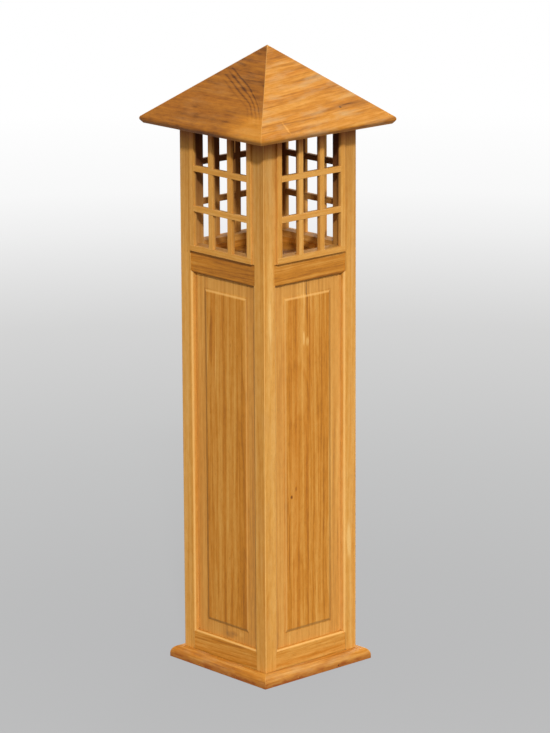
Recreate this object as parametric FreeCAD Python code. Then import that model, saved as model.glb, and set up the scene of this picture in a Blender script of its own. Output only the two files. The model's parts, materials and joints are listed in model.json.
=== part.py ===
import FreeCAD, Part
import math
import os

# A square garden lantern in solid teak, about 900 mm tall. Four corner posts and twelve rails
# make the frame. Raised panels close its foot, lattices of cross-halved bars close its head, and
# a hipped roof of four mitred boards lifts off the posts to reach the lamp floor.
# Millimetres, +Z up. The origin is the middle of the square that the lantern stands on.
# Every side is modelled at the front, whose face looks along -Y, and turned into place.

# Frame
body_width = 176.0            # over the faces of the corner posts
post_size = 23.5              # square section of a corner post
post_edge_radius = 1.2        # easing of a post's outer corner
bottom_rail_height = 46.0
panel_opening_height = 530.0  # between the bottom rail and the mid rail
mid_rail_height = 33.0
top_rail_height = 20.0
rail_setback = 2.0            # from the posts' faces back to the bottom and mid rails' faces
rail_thickness = 14.0         # of the bottom and mid rails; the top rail ends at the same depth

# Joints of the frame
tenon_setback = 6.0           # from the posts' faces back to a tenon
tenon_thickness = 6.0
tenon_shoulder = 7.0          # from a rail's edge to its tenon
joint_fit = 0.1               # all round a tenon or a pin, and where a piece is set between others

# Moulding round the panels
moulding_radius = 4.0         # of the quarter round on the edges of the posts and rails

# Raised panels
panel_setback = 7.5           # from the posts' faces back to a panel's margin
panel_edge_thickness = 6.0    # of the tongue that stands in the grooves
panel_field_rise = 1.5        # of the field above the margin
panel_margin = 18.0           # from the opening to the bevel
panel_bevel = 6.0             # width of the slope up to the field
groove_depth = 6.0
groove_fit = 0.2              # across the tongue's thickness
panel_gap = 1.0               # room for the panel to swell, at the bottom of a groove

# Lattices
lattice_thickness = 6.5
lattice_projection = 3.0      # how far a lattice stands out from the posts' faces
lattice_opening_height = 164.5
lattice_bar_width = 8.4
lattice_columns = 3
lattice_rows = 3
stile_width = 8.5
head_height = 8.5
sill_thickness = 8.5
stub_length = 4.0             # of the stub tenons on bars, stiles and head
stub_thickness = 2.4
stub_shoulder = 1.0           # from a bar's edge to its stub tenon

# Base moulding
base_height = 17.0
base_projection = 15.5        # from the posts' faces
base_round_radius = 12.0
base_pin_diameter = 2.4
base_pin_height = 3.5
base_pin_offset = 39.0        # from the middle of a side
base_pin_sink = 1.0           # how far the pins are punched below the moulding's edge
base_pin_hold = 9.0           # how far the pins run into the bottom rail

# Lamp floor
floor_thickness = 10.0
floor_drop = 9.5              # from the top of the mid rails down to the floor
floor_gap = 1.0               # between the floor and what stands round it
cleat_width = 12.0
cleat_height = 12.0

# Roof
roof_width = 259.6            # to the eave's top edge before it is rounded
roof_slope = 38.65            # degrees
roof_thickness = 9.5
roof_lift = 15.4              # from the posts' outer top edge up to the boards
eave_edge_radius = 4.5        # along the boards' top edges
eave_corner_radius = 3.5      # in plan, at the hips
bearer_setback = 2.0          # from the posts' faces in to the bearers
bearer_width = 33.0
bearer_lip_depth = 10.0       # how far the bearers' lips drop between the posts
bearer_lip_fit = 0.8          # from the lips to the posts

# Places worked out from the sizes above
half_body = body_width / 2
half_opening = half_body - post_size
mid_rail_bottom = bottom_rail_height + panel_opening_height
mid_rail_top = mid_rail_bottom + mid_rail_height
sill_top = mid_rail_top + sill_thickness
top_rail_bottom = sill_top + lattice_opening_height
post_height = top_rail_bottom + top_rail_height
floor_top = mid_rail_top - floor_drop
rail_inner = half_body - rail_setback - rail_thickness
moulding_end = -half_opening - moulding_radius  # x of the left post's edge of the moulding
slope = math.radians(roof_slope)

SIDES = {"front": 0, "right": 90, "back": 180, "left": 270}
CORNERS = {"front_left": 0, "front_right": 90, "back_right": 180, "back_left": 270}


def depth(distance):
    """The y of a point at this distance behind the front faces of the posts."""
    return distance - half_body


def block(x0, x1, y0, y1, z0, z1):
    """An upright box between two corners."""
    return Part.makeBox(x1 - x0, y1 - y0, z1 - z0, FreeCAD.Vector(x0, y0, z0))


def prism(points, way):
    """A polygon of points, drawn out along a vector."""
    wire = Part.makePolygon(points + [points[0]])
    return Part.Face(wire).extrude(way)


def bar_x(section, x0, x1):
    """A bar along X with a section of (y, z) points."""
    points = [FreeCAD.Vector(x0, y, z) for y, z in section]
    return prism(points, FreeCAD.Vector(x1 - x0, 0, 0))


def plate_z(outline, z0, z1):
    """A plate with an outline of (x, y) points."""
    points = [FreeCAD.Vector(x, y, z0) for x, y in outline]
    return prism(points, FreeCAD.Vector(0, 0, z1 - z0))


def across_corner(shape):
    """The shape seen in the mirror that runs through the front left corner's diagonal."""
    return shape.mirror(FreeCAD.Vector(0, 0, 0), FreeCAD.Vector(1, -1, 0))


def across_middle(shape):
    """The shape seen in the mirror between the left and right halves."""
    return shape.mirror(FreeCAD.Vector(0, 0, 0), FreeCAD.Vector(1, 0, 0))


def turned(shape, angle):
    """A copy of the shape, turned about the lantern's axis."""
    copy = shape.copy()
    copy.rotate(FreeCAD.Vector(0, 0, 0), FreeCAD.Vector(0, 0, 1), angle)
    return copy


def export(shape, node):
    """Write one sub-part."""
    shape.exportStep("parts/" + node + ".step")


def export_round(shape, name, places):
    """Write one sub-part for each place round the lantern's axis."""
    for place, angle in places.items():
        export(turned(shape, angle), name + "_" + place)


# Frame ---------------------------------------------------------------------------------------

def tenon(z0, z1, grow=0.0):
    """The left tenon of a rail that spans these heights, or its mortise.

    Its end is mitred, because two rails meet inside each post.
    """
    outer = depth(tenon_setback) - grow
    inner = depth(tenon_setback + tenon_thickness) + grow
    mitre = joint_fit - grow
    outline = [(-half_opening, outer), (outer + mitre, outer),
               (inner + mitre, inner), (-half_opening, inner)]
    return plate_z(outline, z0 + tenon_shoulder - grow, z1 - tenon_shoulder + grow)


def panel_groove(x0, x1, z0, z1):
    """The room for a panel's tongue in what surrounds it."""
    front = depth(panel_setback - groove_fit / 2)
    back = depth(panel_setback + panel_edge_thickness + groove_fit / 2)
    return block(x0, x1, front, back, z0, z1)


def rail(setback, z0, z1):
    """A plain rail between the posts, with a tenon at each end."""
    body = block(-half_opening, half_opening, depth(setback), -rail_inner, z0, z1)
    left = tenon(z0, z1)
    return body.fuse([left, across_middle(left)]).removeSplitter()


def mitred_shoulder(plain_z, moulded_z, front):
    """What a moulded rail lets into the left post, mitred where the two mouldings meet."""
    into_rail = math.copysign(moulding_radius, plain_z - moulded_z)
    outline = [FreeCAD.Vector(x, front, z) for x, z in
               ((moulding_end, plain_z), (-half_opening, plain_z), (-half_opening, moulded_z),
                (moulding_end, moulded_z + into_rail))]
    return prism(outline, FreeCAD.Vector(0, depth(rail_setback + moulding_radius) - front, 0))


def moulded_rail(plain_z, moulded_z):
    """A rail with a quarter round along the panel's opening and mitred shoulders."""
    face = depth(rail_setback)
    shoulder = mitred_shoulder(plain_z, moulded_z, face)
    whole = rail(rail_setback, min(plain_z, moulded_z), max(plain_z, moulded_z))
    centre_z = moulded_z + math.copysign(moulding_radius, plain_z - moulded_z)
    corner = block(moulding_end, -moulding_end, face, face + moulding_radius,
                   min(centre_z, moulded_z), max(centre_z, moulded_z))
    left = Part.makeCylinder(moulding_radius, -2 * moulding_end,
                             FreeCAD.Vector(moulding_end, face + moulding_radius, centre_z),
                             FreeCAD.Vector(1, 0, 0))
    return whole.fuse([shoulder, across_middle(shoulder)]).cut(corner.cut(left)).removeSplitter()


def bottom_rail():
    """The bottom rail, with the panel's groove in its top and the base pins' holes."""
    groove = panel_groove(-half_opening, half_opening, bottom_rail_height - groove_depth,
                          bottom_rail_height)
    return moulded_rail(0, bottom_rail_height).cut([groove] + base_pin_holes())


def mid_rail():
    """The mid rail, with the panel's groove in its bottom."""
    groove = panel_groove(-half_opening, half_opening, mid_rail_bottom,
                          mid_rail_bottom + groove_depth)
    return moulded_rail(mid_rail_top, mid_rail_bottom).cut(groove)


def top_rail():
    """The top rail stands behind the lattice's head."""
    return rail(lattice_thickness - lattice_projection, top_rail_bottom, post_height)


def post_moulding():
    """What the quarter round takes off the left post's edge, as far as the mitres."""
    z0 = bottom_rail_height - moulding_radius
    z1 = mid_rail_bottom + moulding_radius
    corner = block(moulding_end, -half_opening, depth(0), depth(moulding_radius), z0, z1)
    left = Part.makeCylinder(moulding_radius, z1 - z0,
                             FreeCAD.Vector(moulding_end, depth(moulding_radius), z0))
    return corner.cut(left)


def post_section():
    """The front left post's square outline, with its outer corner eased."""
    out = -half_body
    inn = -half_opening
    start = out + post_edge_radius
    bend = out + post_edge_radius * (1 - math.sqrt(0.5))
    corner = Part.Arc(FreeCAD.Vector(out, start, 0), FreeCAD.Vector(bend, bend, 0),
                      FreeCAD.Vector(start, out, 0)).toShape()
    rest = Part.makePolygon([FreeCAD.Vector(start, out, 0), FreeCAD.Vector(inn, out, 0),
                             FreeCAD.Vector(inn, inn, 0), FreeCAD.Vector(out, inn, 0),
                             FreeCAD.Vector(out, start, 0)])
    return Part.Face(Part.Wire([corner] + rest.Edges))


def corner_post():
    """The front left post, with the joints and the mouldings of its two sides."""
    post = post_section().extrude(FreeCAD.Vector(0, 0, post_height))
    cuts = [tenon(0, bottom_rail_height, joint_fit),
            tenon(mid_rail_bottom, mid_rail_top, joint_fit),
            tenon(top_rail_bottom, post_height, joint_fit),
            panel_groove(-half_opening - groove_depth, -half_opening,
                         bottom_rail_height - groove_depth, mid_rail_bottom + groove_depth),
            mitred_shoulder(0, bottom_rail_height, depth(0)),
            mitred_shoulder(mid_rail_top, mid_rail_bottom, depth(0)),
            post_moulding()]
    return post.cut(cuts + [across_corner(cut) for cut in cuts])


# Panels --------------------------------------------------------------------------------------

def upright_rectangle(inset, y):
    """A wire that faces the front, this far inside the panel's opening."""
    x = half_opening - inset
    z0 = bottom_rail_height + inset
    z1 = mid_rail_bottom - inset
    return Part.makePolygon([FreeCAD.Vector(-x, y, z0), FreeCAD.Vector(x, y, z0),
                             FreeCAD.Vector(x, y, z1), FreeCAD.Vector(-x, y, z1),
                             FreeCAD.Vector(-x, y, z0)])


def raised_panel():
    """A board whose margin stands in the grooves, with a bevelled field on its face."""
    margin_y = depth(panel_setback)
    rim = Part.Face(upright_rectangle(panel_gap - groove_depth, margin_y))
    board = rim.extrude(FreeCAD.Vector(0, panel_edge_thickness, 0))
    foot = upright_rectangle(panel_margin, margin_y)
    crown = upright_rectangle(panel_margin + panel_bevel, margin_y - panel_field_rise)
    return board.fuse(Part.makeLoft([foot, crown], True, True)).removeSplitter()


# Lattices ------------------------------------------------------------------------------------

lattice_front = depth(-lattice_projection)
lattice_back = lattice_front + lattice_thickness
lattice_middle = (lattice_front + lattice_back) / 2
lattice_end = half_opening - joint_fit
lattice_clear = lattice_end - stile_width


def spread(start, end, count):
    """The middles of bars that divide a clear span into equal openings."""
    gap = (end - start - count * lattice_bar_width) / (count + 1)
    return [start + gap + lattice_bar_width / 2 + i * (gap + lattice_bar_width)
            for i in range(count)]


upright_places = spread(-lattice_clear, lattice_clear, lattice_columns - 1)
crossbar_places = spread(sill_top, top_rail_bottom, lattice_rows - 1)


def standing_bar(x0, x1, z0, z1, stub_z0, stub_z1, grow=0.0):
    """An upright lattice member whose stub tenons reach down and up to these heights."""
    body = block(x0, x1, lattice_front, lattice_back, z0, z1)
    half = stub_thickness / 2 + grow
    inset = stub_shoulder - grow
    stub = block(x0 + inset, x1 - inset, lattice_middle - half, lattice_middle + half,
                 stub_z0 - grow, stub_z1 + grow)
    return body.fuse(stub).removeSplitter()


def lying_bar(z0, z1, grow=0.0):
    """A level lattice member between the stiles, with a stub tenon at each end."""
    body = block(-lattice_clear, lattice_clear, lattice_front, lattice_back, z0, z1)
    half = stub_thickness / 2 + grow
    inset = stub_shoulder - grow
    reach = lattice_clear + stub_length + grow
    stub = block(-reach, reach, lattice_middle - half, lattice_middle + half,
                 z0 + inset, z1 - inset)
    return body.fuse(stub).removeSplitter()


def upright(x, grow=0.0):
    """One upright before it is halved."""
    half = lattice_bar_width / 2
    return standing_bar(x - half, x + half, sill_top, top_rail_bottom,
                        sill_top - stub_length, top_rail_bottom + stub_length, grow)


def crossbar(z, grow=0.0):
    """One crossbar before it is halved."""
    half = lattice_bar_width / 2
    return lying_bar(z - half, z + half, grow)


def plain_stile(grow=0.0):
    """The left stile before it is mortised. Its stub tenon stands in the sill."""
    top = top_rail_bottom + head_height
    return standing_bar(-lattice_end, -lattice_clear, sill_top, top,
                        sill_top - stub_length, sill_top, grow)


def plain_head(grow=0.0):
    """The head before it is mortised."""
    return lying_bar(top_rail_bottom, top_rail_bottom + head_height, grow)


def left_stile():
    """The left stile, mortised for the crossbars and the head."""
    mortises = [crossbar(z, joint_fit) for z in crossbar_places]
    return plain_stile().cut(mortises + [plain_head(joint_fit)])


def lattice_head():
    """The head, mortised for the uprights."""
    return plain_head().cut([upright(x, joint_fit) for x in upright_places])


def lattice_sill():
    """A board across the mid rail's top, mortised for the stiles and the uprights."""
    board = block(-lattice_end, lattice_end, lattice_front, -rail_inner, mid_rail_top, sill_top)
    stile = plain_stile(joint_fit)
    mortises = [upright(x, joint_fit) for x in upright_places]
    return board.cut(mortises + [stile, across_middle(stile)])


def halving(x, z, y0, y1):
    """Half the depth of a crossing, to be cut from one of its two bars."""
    half = lattice_bar_width / 2 + joint_fit
    return block(x - half, x + half, y0, y1, z - half, z + half)


def halved_uprights():
    """The uprights keep their back half at each crossing."""
    bars = []
    for x in upright_places:
        notches = [halving(x, z, lattice_front, lattice_middle) for z in crossbar_places]
        bars.append(upright(x).cut(notches))
    return Part.makeCompound(bars)


def halved_crossbars():
    """The crossbars keep their front half, so they run through unbroken."""
    bars = []
    for z in crossbar_places:
        notches = [halving(x, z, lattice_middle, lattice_back) for x in upright_places]
        bars.append(crossbar(z).cut(notches))
    return Part.makeCompound(bars)


# Base ----------------------------------------------------------------------------------------

def base_pin():
    """The left pin that fixes the front moulding to the bottom rail."""
    start = depth(base_pin_sink - base_projection)
    end = depth(rail_setback + base_pin_hold)
    return Part.makeCylinder(base_pin_diameter / 2, end - start,
                             FreeCAD.Vector(-base_pin_offset, start, base_pin_height),
                             FreeCAD.Vector(0, 1, 0))


def base_pin_holes():
    """The two holes that the front moulding's pins are driven into."""
    start = depth(-base_projection)
    end = depth(rail_setback + base_pin_hold + joint_fit)
    hole = Part.makeCylinder(base_pin_diameter / 2 + joint_fit, end - start,
                             FreeCAD.Vector(-base_pin_offset, start, base_pin_height),
                             FreeCAD.Vector(0, 1, 0))
    return [hole, across_middle(hole)]


def base_pins():
    """The pins of all four mouldings."""
    pair = [base_pin(), across_middle(base_pin())]
    return Part.makeCompound([turned(pin, angle) for angle in SIDES.values() for pin in pair])


def base_moulding():
    """The front moulding: an upright edge, a quarter round, and mitred ends."""
    end = half_body + base_projection
    out = -end
    centre_y = out + base_round_radius
    centre_z = base_height - base_round_radius
    bend = base_round_radius * math.sqrt(0.5)

    def point(y, z):
        return FreeCAD.Vector(-end, y, z)

    quarter = Part.Arc(point(out, centre_z), point(centre_y - bend, centre_z + bend),
                       point(centre_y, base_height)).toShape()
    rest = Part.makePolygon([point(centre_y, base_height), point(depth(0), base_height),
                             point(depth(0), 0), point(out, 0), point(out, centre_z)])
    section = Part.Face(Part.Wire([quarter] + rest.Edges))
    bar = section.extrude(FreeCAD.Vector(2 * end, 0, 0))
    mitre = plate_z([(-half_body, depth(0)), (half_body, depth(0)), (end, out), (-end, out)],
                    0, base_height)
    return bar.common(mitre).cut(base_pin_holes())


# Lamp floor ----------------------------------------------------------------------------------

def lamp_floor():
    """The board that the lamp stands on, notched round the posts."""
    wide = rail_inner - floor_gap
    narrow = half_opening - floor_gap
    outline = [(-narrow, -wide), (narrow, -wide), (narrow, -narrow), (wide, -narrow),
               (wide, narrow), (narrow, narrow), (narrow, wide), (-narrow, wide),
               (-narrow, narrow), (-wide, narrow), (-wide, -narrow), (-narrow, -narrow)]
    return plate_z(outline, floor_top - floor_thickness, floor_top)


def floor_cleat():
    """The cleat on the inside of the front mid rail, under the floor."""
    top = floor_top - floor_thickness
    end = half_opening - floor_gap
    return block(-end, end, -rail_inner, -rail_inner + cleat_width, top - cleat_height, top)


# Roof ----------------------------------------------------------------------------------------

def roof_underside(y):
    """The height of the front roof board's underside at this y."""
    return post_height + roof_lift + (y + half_body) * math.tan(slope)


def roof_wedge(half_width):
    """The quarter of the plan that belongs to the front, between the two mitres."""
    return plate_z([(0, 0), (-half_width, -half_width), (half_width, -half_width)],
                   0, roof_underside(0) + 2 * roof_thickness)


def rounded_plan():
    """The whole roof's square plan with its corners rounded."""
    half = roof_width / 2
    square = block(-half, half, -half, half, 0, roof_underside(0) + 2 * roof_thickness)
    corners = [edge for edge in square.Edges
               if abs(edge.Vertexes[0].Z - edge.Vertexes[1].Z) > half]
    return square.makeFillet(eave_corner_radius, corners)


def roof_board():
    """The front board: square edged at the eave and mitred along both hips."""
    half = roof_width / 2
    rise = roof_thickness / math.cos(slope)
    eave_z = roof_underside(-half) + rise
    section = [(-half, eave_z), (0, roof_underside(0) + rise), (0, roof_underside(0)),
               (-half + roof_thickness * math.sin(slope), eave_z - roof_thickness * math.cos(slope))]
    board = bar_x(section, -half, half)
    eave = [edge for edge in board.Edges
            if all(math.hypot(v.Y + half, v.Z - eave_z) < joint_fit for v in edge.Vertexes)]
    eased = board.makeFillet(eave_edge_radius, eave)
    return eased.common(roof_wedge(half)).common(rounded_plan())


def roof_bearer():
    """The front bearer: it carries the boards, rests on the frame and drops a lip inside it."""
    out = depth(bearer_setback)
    inn = out + bearer_width
    lip = -half_opening + bearer_lip_fit
    lip_bottom = post_height - bearer_lip_depth
    section = [(out, post_height), (out, roof_underside(out)), (inn, roof_underside(inn)),
               (inn, lip_bottom), (lip, lip_bottom), (lip, post_height)]
    return bar_x(section, -half_body, half_body).common(roof_wedge(half_body))


# Build ---------------------------------------------------------------------------------------

def main():
    os.makedirs("parts", exist_ok=True)
    export_round(corner_post(), "corner_post", CORNERS)
    export_round(bottom_rail(), "bottom_rail", SIDES)
    export_round(mid_rail(), "mid_rail", SIDES)
    export_round(top_rail(), "top_rail", SIDES)
    export_round(raised_panel(), "raised_panel", SIDES)
    export_round(lattice_sill(), "lattice_sill", SIDES)
    export_round(lattice_head(), "lattice_head", SIDES)
    export_round(left_stile(), "lattice_left_stile", SIDES)
    export_round(across_middle(left_stile()), "lattice_right_stile", SIDES)
    export_round(halved_uprights(), "lattice_uprights", SIDES)
    export_round(halved_crossbars(), "lattice_crossbars", SIDES)
    export_round(base_moulding(), "base_moulding", SIDES)
    export(base_pins(), "base_pins")
    export(lamp_floor(), "lamp_floor")
    export_round(floor_cleat(), "floor_cleat", {"front": 0, "back": 180})
    export_round(roof_board(), "roof_board", SIDES)
    export_round(roof_bearer(), "roof_bearer", SIDES)


main()
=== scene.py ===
import json
import math
import random

import bmesh
import bpy
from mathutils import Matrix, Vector

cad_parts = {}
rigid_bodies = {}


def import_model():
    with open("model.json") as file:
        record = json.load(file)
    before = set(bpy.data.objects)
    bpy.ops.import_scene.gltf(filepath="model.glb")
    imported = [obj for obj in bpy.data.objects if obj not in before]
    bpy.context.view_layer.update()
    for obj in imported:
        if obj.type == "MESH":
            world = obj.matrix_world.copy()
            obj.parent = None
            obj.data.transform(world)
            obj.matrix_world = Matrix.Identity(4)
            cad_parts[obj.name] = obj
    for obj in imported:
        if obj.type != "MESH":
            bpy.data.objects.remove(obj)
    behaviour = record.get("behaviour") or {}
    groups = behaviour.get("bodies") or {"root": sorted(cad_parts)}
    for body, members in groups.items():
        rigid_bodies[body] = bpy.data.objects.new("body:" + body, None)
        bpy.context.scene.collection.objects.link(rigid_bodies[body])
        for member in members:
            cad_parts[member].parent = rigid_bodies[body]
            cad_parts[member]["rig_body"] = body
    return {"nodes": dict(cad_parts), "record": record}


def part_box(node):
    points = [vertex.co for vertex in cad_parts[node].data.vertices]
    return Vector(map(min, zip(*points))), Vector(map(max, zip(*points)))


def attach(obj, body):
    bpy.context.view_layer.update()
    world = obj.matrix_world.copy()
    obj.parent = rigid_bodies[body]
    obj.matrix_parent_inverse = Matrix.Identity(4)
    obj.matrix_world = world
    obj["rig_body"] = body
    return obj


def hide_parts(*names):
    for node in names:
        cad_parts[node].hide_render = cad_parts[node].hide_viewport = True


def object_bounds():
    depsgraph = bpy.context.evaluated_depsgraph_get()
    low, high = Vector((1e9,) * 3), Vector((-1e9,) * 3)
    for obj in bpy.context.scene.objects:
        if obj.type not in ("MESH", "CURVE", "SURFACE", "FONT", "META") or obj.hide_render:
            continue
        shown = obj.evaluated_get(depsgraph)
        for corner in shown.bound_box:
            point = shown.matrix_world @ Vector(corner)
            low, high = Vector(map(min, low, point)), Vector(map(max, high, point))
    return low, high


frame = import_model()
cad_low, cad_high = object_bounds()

MM = 0.001

# Places on the lantern ------------------------------------------------------------------------

SIDES = {"front": Vector((0, -1, 0)), "right": Vector((1, 0, 0)),
         "back": Vector((0, 1, 0)), "left": Vector((-1, 0, 0))}
ALONG_X, ALONG_Y, UP = Vector((1, 0, 0)), Vector((0, 1, 0)), Vector((0, 0, 1))
HEIGHT = cad_high.z - cad_low.z

CHAMBER_HALF = -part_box("lattice_head_front")[1].y  # from the axis to the back of a lattice
CHAMBER_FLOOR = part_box("mid_rail_front")[1].z
CHAMBER_TOP, RAILS_TOP = (corner.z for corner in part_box("top_rail_front"))

pins_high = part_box("base_pins")[1]
OPEN_PIN = (pins_high.x, 39 * MM, pins_high.z)     # the one pin that has no filler over it
FILLER_REACH = 15 * MM        # from the open pin to the nearest filler

eave_low, roof_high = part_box("roof_board_front")
ROOF_SLOPE = math.atan2(roof_high.z - eave_low.z, -eave_low.y)


def side_of(node):
    """The outward direction of the side whose name ends a node's name, or None."""
    return SIDES.get(node.rsplit("_", 1)[-1])


# Shader maths ---------------------------------------------------------------------------------

class Socket:
    """A shader socket that takes part in arithmetic by adding Math nodes."""

    def __init__(self, shader, link):
        self.shader = shader
        self.link = link

    def __add__(self, other):
        return self.shader.math("ADD", self, other)

    def __sub__(self, other):
        return self.shader.math("SUBTRACT", self, other)

    def __rsub__(self, other):
        return self.shader.math("SUBTRACT", other, self)

    def __mul__(self, other):
        return self.shader.math("MULTIPLY", self, other)

    def __truediv__(self, other):
        return self.shader.math("DIVIDE", self, other)

    def __pow__(self, other):
        return self.shader.math("POWER", self, other)

    def __abs__(self):
        return self.shader.math("ABSOLUTE", self)

    __radd__ = __add__
    __rmul__ = __mul__


class Shader:
    """The nodes of one material, or of the world, which start empty."""

    def __init__(self, owner):
        self.owner = owner
        owner.use_nodes = True
        self.tree = owner.node_tree
        self.tree.nodes.clear()

    def node(self, kind, sockets, output=0, **settings):
        """A new node. Its settings are set first, then the values or links of its sockets."""
        made = self.tree.nodes.new(kind)
        for name, value in settings.items():
            if name == "stops":
                ramp = made.color_ramp.elements
                while len(ramp) < len(value):
                    ramp.new(1.0)
                for stop, (place, colour) in zip(ramp, value):
                    stop.position = place
                    stop.color = colour
            else:
                setattr(made, name, value)
        for key, value in sockets.items():
            if isinstance(value, Socket):
                self.tree.links.new(value.link, made.inputs[key])
            else:
                made.inputs[key].default_value = value
        return Socket(self, made.outputs[output]) if made.outputs else None

    def math(self, operation, *values):
        return self.node("ShaderNodeMath", dict(enumerate(values)), operation=operation)

    def largest(self, first, *others):
        for other in others:
            first = self.math("MAXIMUM", first, other)
        return first

    def place(self):
        """Where a point is on the lantern, in metres."""
        return self.node("ShaderNodeTexCoord", {}, output="Object")

    def measure(self, operation, *vectors):
        """A number that Vector Math makes from vectors, such as a length or a dot product."""
        return self.node("ShaderNodeVectorMath", dict(enumerate(vectors)), output="Value",
                         operation=operation)

    def split(self, vector):
        """The three parts of a vector."""
        first = self.node("ShaderNodeSeparateXYZ", {0: vector})
        return [Socket(self, output) for output in first.link.node.outputs]

    def mix(self, factor, a, b, blend="MIX"):
        """Two colours mixed, or blended as blend says."""
        return self.node("ShaderNodeMix", {0: factor, 6: a, 7: b}, output=2, data_type="RGBA",
                         blend_type=blend, clamp_factor=True)

    def tint(self, factor, colour, by):
        """A colour multiplied by another one, as far as factor says."""
        return self.mix(factor, colour, self.mix(1.0, colour, by, "MULTIPLY"))

    def noise(self, vector, scale, detail=2.0, roughness=0.5):
        """Noise between 0 and 1, about 0.5."""
        return self.node("ShaderNodeTexNoise", {"Vector": vector, "Scale": scale,
                                                "Detail": detail, "Roughness": roughness})

    def ramp(self, value, stops):
        """A value or colour that follows stops of (place, colour)."""
        return self.node("ShaderNodeValToRGB", {"Fac": value}, stops=stops)

    def step(self, value, start, end):
        """0 below start, 1 above end, and smooth between."""
        return self.node("ShaderNodeMapRange", {"Value": value, "From Min": start,
                                                "From Max": end}, interpolation_type="SMOOTHSTEP")

    def finish(self, surface):
        """Links a surface to the output and gives the material or world."""
        kind = "World" if isinstance(self.owner, bpy.types.World) else "Material"
        self.node("ShaderNodeOutput" + kind, {"Surface": surface})
        return self.owner


def srgb(red, green, blue):
    """A colour as a paint chart gives it, 0 to 255, for a shader's socket."""
    def linear(value):
        share = value / 255
        return share / 12.92 if share <= 0.04045 else ((share + 0.055) / 1.055) ** 2.4
    return (linear(red), linear(green), linear(blue), 1.0)


def grey(value):
    return (value, value, value, 1.0)


# Teak -----------------------------------------------------------------------------------------

PALE = srgb(234, 186, 112)
GOLD = srgb(216, 157, 74)
ORANGE = srgb(196, 127, 36)
BROWN = srgb(150, 90, 22)
DARK = srgb(84, 42, 10)
TEAK_SHADES = [(0.0, PALE), (0.30, GOLD), (0.56, ORANGE), (0.84, BROWN), (1.0, DARK)]
CORNER_SHADE = srgb(112, 58, 12)     # painted shade in the corners and creases
BLEACHED = srgb(195, 159, 114)   # where the sun has taken the oil out
FOOT_DARK = srgb(152, 80, 20)      # the lower part of the base moulding, darker towards the bottom

# These three multiply the colour of the wood.
WARM = srgb(255, 222, 180)    # long streaks that are redder than the rest
CHAMBER_SHADE_TINT = srgb(100, 58, 26)      # painted shade inside the chamber
EAVE_SHADE = srgb(198, 158, 104)  # painted shade on the posts' heads under the eaves

# How each kind of board was cut and finished. depth is how far below the face the heart of the
# tree lies, aside how far to one side of the middle, and ring how far the growth rings are apart,
# all in millimetres. wander is how much the heart bends, lean how fast it rises along the board,
# and skew how fast the grain runs off across the board. fine and short make the streaks narrower
# and shorter. tone darkens the whole board and bleach is how far the sun has faded it. figure is
# how strongly the growth rings show, and streak how strongly the streaks do.
CUTS = {
    "post_teak": {"depth": 60, "aside": 90, "ring": 5.5, "wander": 9, "lean": 0.02, "skew": 0.0,
                  "fine": 1.0, "short": 1.0, "tone": 0.15, "figure": 0.10, "streak": 0.28,
                  "bleach": 0.12},
    "panel_teak": {"depth": 34, "aside": 26, "ring": 7.0, "wander": 22, "lean": 0.03, "skew": 0.0,
                   "fine": 0.8, "short": 0.8, "tone": 0.21, "figure": 0.10, "streak": 0.46,
                   "bleach": 0.0},
    "rail_teak": {"depth": 60, "aside": 40, "ring": 4.0, "wander": 10, "lean": 0.03, "skew": 0.02,
                  "fine": 0.45, "short": 0.22, "tone": 0.36, "figure": 0.06, "streak": 0.38,
                  "bleach": 0.0},
    "lattice_teak": {"depth": 50, "aside": 80, "ring": 4.5, "wander": 6, "lean": 0.0, "skew": 0.0,
                     "fine": 0.6, "short": 0.5, "tone": 0.18, "figure": 0.08, "streak": 0.26,
                     "bleach": 0.1},
    "moulding_teak": {"depth": 40, "aside": 50, "ring": 5.0, "wander": 12, "lean": 0.0,
                      "skew": 0.0, "fine": 0.6, "short": 0.3, "tone": 0.16, "figure": 0.14,
                      "streak": 0.50, "bleach": 0.45},
    "roof_teak": {"depth": 60, "aside": 60, "ring": 8.0, "wander": 24, "lean": 0.05, "skew": 0.08,
                  "fine": 0.9, "short": 0.26, "tone": 0.34, "figure": 0.06, "streak": 0.50,
                  "bleach": 0.65},
    "inner_teak": {"depth": 60, "aside": 60, "ring": 5.0, "wander": 8, "lean": 0.0, "skew": 0.0,
                   "fine": 1.0, "short": 1.0, "tone": 0.50, "figure": 0.12, "streak": 0.24,
                   "bleach": 0.0},
}

# Boards that came from another log than the rest of their kind.
ODD_BOARDS = {
    "roof_board_front": {"tone": 0.68, "wander": 6, "lean": 0.0, "skew": 0.0, "figure": 0.04,
                         "streak": 0.18, "bleach": 0.14},
    "raised_panel_front": {"tone": 0.30},
    "mid_rail_front": {"tone": 0.42},
    "bottom_rail_front": {"tone": 0.28, "figure": 0.14},
    "bottom_rail_right": {"tone": 0.26},
    "base_moulding_front": {"tone": 0.22},
}

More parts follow.
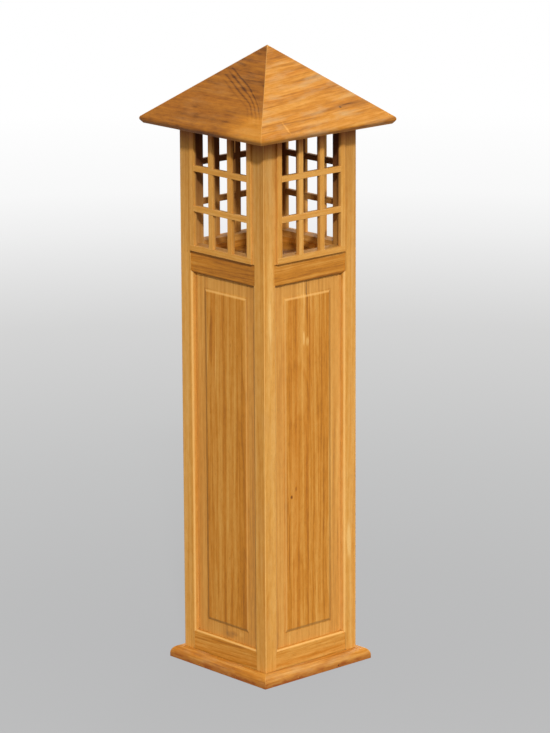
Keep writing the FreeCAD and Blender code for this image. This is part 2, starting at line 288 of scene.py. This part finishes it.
# Single marks in the boards: (place along, place across, half length, half width, darkness),
# measured from the board's middle in millimetres. A post's marks are on its right-hand face.
MARKS = {
    "raised_panel_right": [
        (183, -7, 14, 2.2, -0.5), (176, -1, 9, 4, -0.32), (240, -1, 52, 1.6, 0.34),
        (240, -7, 46, 2.2, -0.24), (240, 6, 40, 1.6, -0.22), (-46, -32, 4, 3, 0.5),
        (-36, -24, 5, 2, 0.25), (-60, -38, 26, 1.6, 0.2), (-130, -36, 90, 2, 0.2)],
    "raised_panel_front": [
        (175, -31, 60, 5.5, 0.24), (150, -22, 66, 2.0, -0.25), (156, -40, 56, 1.8, -0.2),
        (-258, 4, 7, 16, 0.2), (-254, 14, 5, 9, 0.2), (-252, 28, 6, 6, -0.2)],
    "corner_post_front_right": [(128, 0.8, 44, 3.2, -0.3)],
    "corner_post_back_right": [(-218, 3, 34, 6, -0.32)],
    "roof_board_right": [(46, -44, 3, 2.5, 0.45), (66, -40, 16, 2, 0.1), (-72, -66, 2.5, 16, -0.25)],
}

# Streaks of three widths, with their lengths, in millimetres.
STREAKS = [(17, 900), (6.5, 420), (2.6, 200)]
LOG_REACH = 4000              # how far up or down the log a board may come from, in millimetres
LOG_ACROSS = 300              # and how far across it

PANEL_TONGUE = 5.0            # of a panel's edge that stands in its grooves, in millimetres
PANEL_MARGIN = 19.5           # from the opening to the bevel
PANEL_BEVEL = 5.0
BEVEL_DEPTH = 2.3 * MM        # how steep the bevel catches the light
EDGE_WEAR_AND_HIGHLIGHT = 1.1 * MM          # how far from an edge the wear and the painted highlight reach
CORNER_SHADE_REACH = 4 * MM          # how far out of a corner the painted shade reaches
# Painted shade under the eaves starts this far below the chamber's top.
EAVE_SHADE_START = CHAMBER_TOP - 30 * MM


def board_axes(node, slot):
    """The directions along the grain, across the face and out of the face of a board."""
    out = side_of(node) or UP
    if slot == "post_teak":
        return UP, ALONG_X, -ALONG_Y
    if node == "lamp_floor":
        return ALONG_X, ALONG_Y, UP
    level = UP.cross(out)
    if slot == "roof_teak":
        face = out * math.sin(ROOF_SLOPE) + UP * math.cos(ROOF_SLOPE)
        return level, face.cross(level), face
    if slot == "panel_teak" or "stile" in node or "upright" in node:
        return UP, level, out
    return level, UP, out


class Board:
    """What one board's material is made of: places on it, its grain and the turn of its faces.

    Places are counted from the board's middle, in millimetres.
    """

    def __init__(self, node, slot, dice):
        self.node = node
        self.slot = slot
        self.cut = {**CUTS[slot], **ODD_BOARDS.get(node, {})}
        self.shader = Shader(bpy.data.materials.new(node + "_teak"))
        self.place = self.shader.place()
        axes = board_axes(node, slot)
        low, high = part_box(node)
        self.middle = (low + high) / 2
        self.half_length, self.half_width = (
            ((high - low) / 2).dot(Vector(map(abs, axis))) / MM for axis in axes[:2])
        self.along, self.across, self.depth = map(self.position, axes)
        self.length = self.along + dice.uniform(-LOG_REACH, LOG_REACH)
        self.width = self.across - self.along * self.cut["skew"]
        self.seed_a = dice.uniform(-LOG_ACROSS, LOG_ACROSS)
        self.seed_b = dice.uniform(-LOG_ACROSS, LOG_ACROSS)
        self.heart_side = dice.choice((-1, 1))
        self.tone = self.cut["tone"] + dice.uniform(-0.03, 0.03)
        self.add_grain()
        self.normal = self.shader.node("ShaderNodeNewGeometry", {}, output="Normal")
        self.turn_x, self.turn_y, self.turn_z = self.shader.split(self.normal)

    def position(self, axis):
        """How far a point is along an axis."""
        return (self.shader.measure("DOT_PRODUCT", self.place, tuple(axis))
                - self.middle.dot(axis)) / MM

    def spots(self, across_size, along_size, detail=2.0, roughness=0.5):
        """Noise with spots this wide and this long, in millimetres."""
        place = self.shader.node("ShaderNodeCombineXYZ", {
            0: (self.width + self.seed_a) / across_size,
            1: (self.depth + self.seed_b) / across_size, 2: self.length / along_size})
        return self.shader.noise(place, 1.0, detail, roughness)

    def add_grain(self):
        s, cut = self.shader, self.cut
        self.bend = self.spots(70, 260, 1.5) - 0.5
        self.ripple = self.spots(14, 90) - 0.5
        self.ring = self.rings()
        self.broad, self.lines, self.hair = (
            s.step(self.spots(width * cut["fine"], length * cut["short"], 2.5, 0.58), 0.37, 0.64)
            for width, length in STREAKS)
        self.mottle = self.spots(5.0, 16, 3.0, 0.65)
        self.fibre = self.spots(0.55, 34)
        self.pores = s.step(self.spots(0.42, 7, 1.0), 0.66, 0.74)

    def rings(self):
        """The growth rings that the board's face cuts: 0 in early wood and 1 in late wood."""
        cut = self.cut
        from_heart_a = (self.width + self.heart_side * cut["aside"]
                        + self.bend * (2 * cut["wander"]) + self.ripple * 3.0)
        from_heart_b = (self.depth + cut["depth"] + self.along * cut["lean"]
                        + self.bend * cut["wander"])
        radius = (from_heart_a * from_heart_a + from_heart_b * from_heart_b) ** 0.5
        turn = radius / cut["ring"] + self.spots(26, 900) * 2.5
        return self.shader.ramp(self.shader.math("FRACT", turn), [
            (0.0, grey(0.0)), (0.55, grey(0.28)), (0.86, grey(1.0)), (1.0, grey(0.0))])

    def marks(self):
        """How much darker the board's single marks make it."""
        on_face = self.depth if self.slot == "post_teak" else self.across
        dark = 0.0
        for along, across, half_long, half_wide, darkness in MARKS.get(self.node, []):
            x = (self.along - along + self.ripple * 8) / half_long
            y = (on_face - across + self.ripple * 4) / half_wide
            dark = (1 - self.shader.step((x * x + y * y) ** 0.5, 0.3, 1.0)) * darkness + dark
        return dark

    def arched_grain(self):
        """How much darker the front roof board is where its grain bends down beside a hip."""
        s, bend, ripple = self.shader, self.bend, self.ripple
        up = self.across + self.half_width
        slant = self.along * 0.42 + up * 0.90 + bend * 12 + ripple * 2
        to_hip = self.along * 0.79 + up * 0.61 + bend * 12 + ripple * 2
        above = s.largest(slant - 70, 0.0)
        beyond = s.largest(to_hip - 77, 0.0)
        inside = 24 - (above * above + beyond * beyond) ** 0.5
        line = s.ramp(s.math("FRACT", (inside + 2.0) / 6.8), [
            (0.0, grey(0.3)), (0.25, grey(1.0)), (0.5, grey(0.3)), (0.75, grey(0.0)),
            (1.0, grey(0.3))])
        near = (s.step(inside, -4.0, -1.0) * (1 - s.step(inside, 10, 30))
                * s.step(self.along, -45, -12) * s.step(up, 24, 56))
        swirls = s.step(ripple, -0.02, 0.10) * s.step(slant, 98, 112)
        corner = s.step(self.along, 30, 95) * (1 - s.step(up, 28, 62))
        return near * (line - 0.3) * 0.21 + swirls * 0.08 - corner * 0.32

    def darkness(self):
        """How dark the wood is, from 0 for the palest to 1."""
        dark = self.tone + self.ring * self.cut["figure"]
        streaks = self.broad * 0.42 + self.lines * 0.36 + self.hair * 0.22
        dark = dark + streaks * self.cut["streak"]
        dark = dark + (self.fibre - 0.5) * 0.16 + (self.mottle - 0.5) * 0.34 + self.marks()
        if self.node == "roof_board_front":
            dark = dark + self.arched_grain()
        return dark

    def wear_and_highlight(self):
        """1 on the edges, which hands and weather have worn paler, and which carry a painted
        highlight.
        """
        soft_normal = self.shader.node("ShaderNodeBevel", {"Radius": EDGE_WEAR_AND_HIGHLIGHT}, samples=6)
        agree = self.shader.measure("DOT_PRODUCT", soft_normal, self.normal)
        return self.shader.step(1 - agree, 0.01, 0.16)

    def painted_chamber_shade(self):
        """How much painted shade darkens a point: none outside, a little low in the chamber, most at
        its top.

        The tops and outer faces of the top rails get none, because the bearers cover them.
        """
        s = self.shader
        x, y, z = s.split(self.place)
        reach = s.largest(abs(x), abs(y))
        within = 1 - s.step(reach, CHAMBER_HALF, CHAMBER_HALF + 5 * MM)
        within = within * (1 - s.step(z, RAILS_TOP - 2 * MM, RAILS_TOP - 0.5 * MM))
        outer_face = s.step(reach, CHAMBER_HALF - 3 * MM, CHAMBER_HALF - 1 * MM)
        within = within * (1 - outer_face * s.step(z, CHAMBER_TOP + 1 * MM, CHAMBER_TOP + 3 * MM))
        return within * s.step(z, CHAMBER_FLOOR, CHAMBER_FLOOR + 10 * MM) * (
            0.35 + s.step(z, CHAMBER_FLOOR + 10 * MM, CHAMBER_TOP - 30 * MM) * 0.57)


def aged_and_shaded(board, wear_and_highlight):
    """The wood's colour after sun and hands, with painted shade in its corners and under the eaves,
    and painted highlights on its edges.
    """
    s = board.shader
    colour = s.ramp(board.darkness(), TEAK_SHADES)
    colour = s.tint(s.step(board.spots(9, 420), 0.45, 0.75) * 0.2, colour, WARM)
    bleached = s.step(board.spots(16, 60, 3.0, 0.6), 0.45, 0.75)
    colour = s.mix(bleached * board.cut["bleach"], colour, BLEACHED)
    colour = s.mix(board.pores * 0.35, colour, DARK)
    # Edges paler, partly from wear and partly as a painted highlight.
    colour = s.mix(wear_and_highlight * (0.30 + board.broad * 0.2), colour, PALE)
    # Painted shade in the corners and creases, wherever the ambient occlusion finds them.
    corner = 1 - s.node("ShaderNodeAmbientOcclusion", {"Distance": CORNER_SHADE_REACH}, output="AO",
                        samples=8)
    colour = s.mix(s.step(corner, 0.38, 0.85) * 0.6, colour, CORNER_SHADE)
    # Painted shade under the eaves: the posts' heads get darker towards the top.
    if board.slot != "roof_teak":
        z = s.split(board.place)[2]
        colour = s.tint(s.step(z, EAVE_SHADE_START, CHAMBER_TOP + 3 * MM), colour, EAVE_SHADE)
    return colour


def fielded(board, colour, bump):
    """A raised panel's colour and bump, with a paler margin and a painted highlight along its bevel,
    strongest at the top.
    """
    s = board.shader
    from_edge = s.math("MINIMUM", board.half_width - abs(board.across),
                       board.half_length - abs(board.along)) - PANEL_TONGUE
    margin = 1 - s.step(from_edge, PANEL_MARGIN - 1.0, PANEL_MARGIN + 1.0)
    colour = s.mix(margin * 0.22, colour, PALE)
    rise = s.step(from_edge, PANEL_MARGIN, PANEL_MARGIN + PANEL_BEVEL)
    from_mitre = board.along - board.half_length + board.half_width - abs(board.across)
    upper = s.step(from_mitre, -1.0, 1.0)
    # Painted highlight along the bevel, stronger along the top.
    colour = s.mix(rise * (1 - rise) * (upper * 0.8 + 1.6), colour, PALE)
    return colour, s.node("ShaderNodeBump", {"Height": rise, "Strength": 1.0,
                                             "Distance": BEVEL_DEPTH, "Normal": bump})


def darker_foot(board, colour):
    """The base moulding's colour, with stains, and darker towards its lower edge."""
    s = board.shader
    foot = 1 - s.step(board.position(UP), -6.0, 5.0)
    stain = s.step(board.spots(11, 34, 3.0, 0.6), 0.42, 0.62)
    return s.mix(foot * (0.62 + stain * 0.33) + stain * 0.16, colour, FOOT_DARK)


def rounds_with_highlight(board, colour):
    """A post's or rail's colour, with a painted highlight on its quarter rounds wherever they don't
    face down.
    """
    s = board.shader
    flat = s.largest(abs(board.turn_x), abs(board.turn_y), abs(board.turn_z))
    rounded = (1 - s.step(flat, 0.80, 0.98)) * s.step(board.turn_z, -0.2, 0.0)
    return s.mix(rounded * 0.75, colour, PALE)


def teak(node, slot, dice):
    """Oiled teak for one board, cut from its own place in the tree."""
    board = Board(node, slot, dice)
    s = board.shader
    wear_and_highlight = board.wear_and_highlight()
    colour = aged_and_shaded(board, wear_and_highlight)
    height = board.fibre * 0.5 + board.lines * 0.3 - board.pores * 0.9 - board.ring * 0.2
    bump = s.node("ShaderNodeBump", {"Height": height, "Strength": 0.35, "Distance": 0.25 * MM})
    if slot == "panel_teak":
        colour, bump = fielded(board, colour, bump)
    if slot == "moulding_teak":
        colour = darker_foot(board, colour)
    if slot in ("post_teak", "rail_teak"):
        colour = rounds_with_highlight(board, colour)
    # Painted shade: faces that look down are darkened towards DARK.
    colour = s.mix(s.step(board.turn_z * -1, 0.5, 0.95) * 0.8, colour, DARK)
    rough = 0.50 + board.fibre * 0.16 + board.pores * 0.15 - wear_and_highlight * 0.08
    if slot != "roof_teak":
        # Painted shade inside the chamber, deepest at its top; the same mask makes the wood rougher
        # there.
        chamber_shade = board.painted_chamber_shade()
        colour = s.tint(chamber_shade, colour, CHAMBER_SHADE_TINT)
        rough = rough + chamber_shade * 0.3
    return s.finish(s.node("ShaderNodeBsdfPrincipled", {
        "Base Color": colour, "Roughness": rough, "Specular IOR Level": 0.35, "Normal": bump}))


def dark_steel():
    """Steel pins, browned by the oil and the weather, with filler over all but one of them."""
    s = Shader(bpy.data.materials.new("dark_steel"))
    place = s.place()
    patch = s.noise(place, 900.0, 3.0)
    filled = s.step(s.measure("DISTANCE", place, OPEN_PIN), FILLER_REACH, FILLER_REACH + 1 * MM)
    colour = s.mix(patch, srgb(38, 28, 24), srgb(84, 60, 44))
    colour = s.mix(filled, colour, s.mix(patch, GOLD, ORANGE))
    return s.finish(s.node("ShaderNodeBsdfPrincipled", {
        "Base Color": colour, "Metallic": 0.7 - filled * 0.7, "Roughness": 0.45 + patch * 0.3}))


# Boards ---------------------------------------------------------------------------------------

ARRIS = 0.5 * MM              # sanded edge of every board
ARRIS_SEGMENTS = 2
SHARP = math.radians(20)      # an edge flatter than this is left alone
CREASE = math.radians(35)     # faces that meet at more than this aren't shaded as one
PANEL_CREASE = math.radians(9)


def is_arris(edge, shortest):
    """Whether a mesh edge is a long outside edge, which sandpaper takes off."""
    return (len(edge.link_faces) == 2 and edge.is_convex
            and edge.calc_face_angle(0.0) > SHARP and edge.calc_length() > shortest)


def sanded(node, material, slot):
    """A board with the shape of its CAD node and its long edges eased, which stands for it."""
    source = frame["nodes"][node]
    bm = bmesh.new()
    bm.from_mesh(source.data)
    bmesh.ops.remove_doubles(bm, verts=bm.verts, dist=0.001 * MM)
    bmesh.ops.dissolve_limit(bm, angle_limit=math.radians(0.4), verts=bm.verts, edges=bm.edges)
    low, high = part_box(node)
    shortest = 0.5 * max(high - low)
    edges = [edge for edge in bm.edges if is_arris(edge, shortest)]
    bmesh.ops.bevel(bm, geom=edges, offset=ARRIS, segments=ARRIS_SEGMENTS, profile=0.5,
                    affect="EDGES", clamp_overlap=True)
    mesh = bpy.data.meshes.new(node + "_board")
    bm.to_mesh(mesh)
    bm.free()
    mesh.shade_smooth()
    mesh.set_sharp_from_angle(angle=PANEL_CREASE if slot == "panel_teak" else CREASE)
    mesh.materials.append(material)
    piece = bpy.data.objects.new(node + "_board", mesh)
    bpy.context.scene.collection.objects.link(piece)
    weighted = piece.modifiers.new("even_shading", "WEIGHTED_NORMAL")
    weighted.keep_sharp = True
    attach(piece, source["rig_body"])
    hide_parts(node)


def dress_boards():
    """Gives every wooden node its own board of teak, and the pins their steel."""
    dice = random.Random(11)
    slots = {part["node"]: part["material_slot"] for part in frame["record"]["subparts"]}
    for node in sorted(frame["nodes"]):
        slot = slots[node]
        if slot in CUTS:
            sanded(node, teak(node, slot, dice), slot)
    pins = frame["nodes"]["base_pins"]
    pins.data.materials.clear()
    pins.data.materials.append(dark_steel())


# Stage ----------------------------------------------------------------------------------------

CAMERA_AZIMUTH = math.radians(47.8)
CAMERA_ELEVATION = math.radians(14.09)
CAMERA_ROLL = math.radians(-0.28)
CAMERA_DISTANCE = 5.252       # metres
CAMERA_AIM_ASIDE = 0.0087
CAMERA_AIM_HEIGHT = 0.4846 * HEIGHT
CAMERA_LENS = 180.6           # millimetres, as the sensor's width
CAMERA_SENSOR = 36

# The lamps: name, azimuth and elevation in degrees, strength, and softness in degrees.
LAMPS = [("key", 51.3, 33, 2.4, 4.0), ("side", 112, 20, 0.45, 30.0), ("fill", 208, 20, 1.2, 20.0)]
SKY_LIGHT = 0.62
SKY_COLOUR = (1.0, 0.90, 0.68)

FLOOR_HALF = 40.0             # metres
FLOOR_LIT = 0.16              # how much light the floor throws back at the lantern
FLOOR_FADE = 5.0              # metres from the lantern to where the floor is white
FLOOR_SHADES = [(0.0, (0.56, 0.567, 0.58, 1.0)), (0.06, (0.575, 0.58, 0.59, 1.0)),
                (0.21, (0.615, 0.62, 0.625, 1.0)), (0.42, grey(0.70)), (0.69, grey(0.94)),
                (0.90, grey(1.0))]
FLOOR_GLOW = [(0.1, grey(0.80)), (0.6, grey(1.0))]   # how much of the shade no shadow takes off


def direction(azimuth, elevation):
    """From the lantern towards an azimuth, counted from the front to the right, and a height."""
    return Vector((math.sin(azimuth) * math.cos(elevation),
                   -math.cos(azimuth) * math.cos(elevation), math.sin(elevation)))


def add_camera():
    back = direction(CAMERA_AZIMUTH, CAMERA_ELEVATION)
    right = Vector((math.cos(CAMERA_AZIMUTH), math.sin(CAMERA_AZIMUTH), 0))
    camera = bpy.data.objects.new("camera", bpy.data.cameras.new("camera"))
    bpy.context.scene.collection.objects.link(camera)
    camera.data.lens = CAMERA_LENS
    camera.data.sensor_width = CAMERA_SENSOR
    camera.data.clip_end = 100
    camera.location = right * CAMERA_AIM_ASIDE + UP * CAMERA_AIM_HEIGHT + back * CAMERA_DISTANCE
    camera.rotation_euler = (-back).to_track_quat("-Z", "Y").to_euler()
    camera.rotation_euler.rotate_axis("Z", CAMERA_ROLL)
    bpy.context.scene.camera = camera


def add_lamps():
    for name, azimuth, elevation, strength, softness in LAMPS:
        lamp = bpy.data.lights.new(name, "SUN")
        lamp.energy = strength
        lamp.angle = math.radians(softness)
        towards = direction(math.radians(azimuth), math.radians(elevation))
        sun = bpy.data.objects.new(name, lamp)
        sun.rotation_euler = towards.to_track_quat("Z", "Y").to_euler()
        bpy.context.scene.collection.objects.link(sun)


def add_world():
    """Even studio light from all round, which the camera sees as white."""
    s = Shader(bpy.data.worlds.new("studio"))
    seen = s.node("ShaderNodeLightPath", {}, output="Is Camera Ray")
    sky = [SKY_LIGHT * part for part in SKY_COLOUR] + [1.0]
    bpy.context.scene.world = s.finish(
        s.node("ShaderNodeBackground", {"Color": s.mix(seen, sky, grey(1.0))}))


def add_floor():
    """A plain pale floor, grey under the lantern and white far from it."""
    s = Shader(bpy.data.materials.new("pale_floor"))
    distance = s.measure("LENGTH", s.place()) / FLOOR_FADE
    lit = s.node("ShaderNodeBsdfDiffuse", {"Color": grey(FLOOR_LIT)})
    shown = s.node("ShaderNodeEmission", {"Color": s.ramp(distance, FLOOR_SHADES)})
    seen, glossy = (s.node("ShaderNodeLightPath", {}, output=ray)
                    for ray in ("Is Camera Ray", "Is Glossy Ray"))
    glow = s.largest(seen, glossy) * s.ramp(distance, FLOOR_GLOW)
    material = s.finish(s.node("ShaderNodeMixShader", {0: glow, 1: lit, 2: shown}))
    mesh = bpy.data.meshes.new("floor")
    corners = [(x * FLOOR_HALF, y * FLOOR_HALF, 0) for x, y in ((-1, -1), (1, -1), (1, 1), (-1, 1))]
    mesh.from_pydata(corners, [], [(0, 1, 2, 3)])
    mesh.materials.append(material)
    floor = bpy.data.objects.new("floor", mesh)
    bpy.context.scene.collection.objects.link(floor)


dress_boards()
add_camera()
add_lamps()
add_world()
add_floor()
bpy.context.scene.view_settings.view_transform = "Standard"
